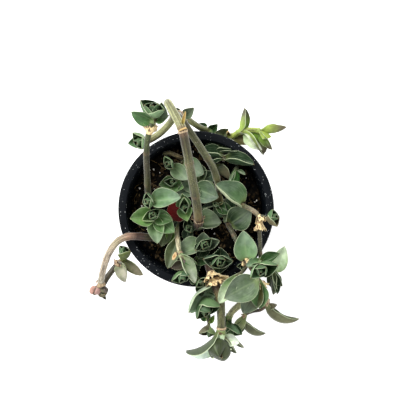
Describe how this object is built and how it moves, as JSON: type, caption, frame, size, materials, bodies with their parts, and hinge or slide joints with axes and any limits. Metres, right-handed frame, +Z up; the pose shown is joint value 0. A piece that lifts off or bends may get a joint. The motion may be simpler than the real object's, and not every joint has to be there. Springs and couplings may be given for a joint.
{
  "type": "potted tradescantia",
  "caption": "Chain-plant tradescantia in a round plastic nursery pot: fleshy grey-green boat-shaped leaves in tight rosettes on stems that arch over the rim and trail outside it.",
  "frame": {"origin": "centre of the pot's underside, on the surface that it stands on", "axes": "+Z up through the pot, +X to the picture's right, +Y to the picture's top, seen from above"},
  "size_m": [0.1396, 0.167, 0.14],
  "materials": {
    "pot_plastic": "satin",
    "potting_soil": "matte",
    "leafy_shoot": "satin",
    "dry_stem": "matte",
    "papery_sheath": "matte",
    "perlite": "matte"
  },
  "bodies": {
    "root": {"pot": "pot_plastic", "soil": "potting_soil", "arching_shoot": "leafy_shoot", "trailing_shoot": "leafy_shoot", "left_arching_shoot": "leafy_shoot", "left_trailing_shoot": "leafy_shoot", "bottom_shoot": "leafy_shoot", "bottom_left_shoot": "leafy_shoot", "right_arching_shoot": "leafy_shoot", "right_inner_shoot": "leafy_shoot", "front_rosette": "leafy_shoot", "middle_rosette": "leafy_shoot", "front_left_shoot": "leafy_shoot", "left_rosette": "leafy_shoot", "upper_left_rosette": "leafy_shoot", "red_leaved_shoot": "leafy_shoot", "back_left_rosette": "leafy_shoot", "back_left_bud": "leafy_shoot", "back_rosette": "leafy_shoot", "back_right_rosette": "leafy_shoot", "right_bud": "leafy_shoot", "middle_bud": "leafy_shoot", "middle_right_bud": "leafy_shoot", "old_stem": "dry_stem"}
  },
  "joints": []
}
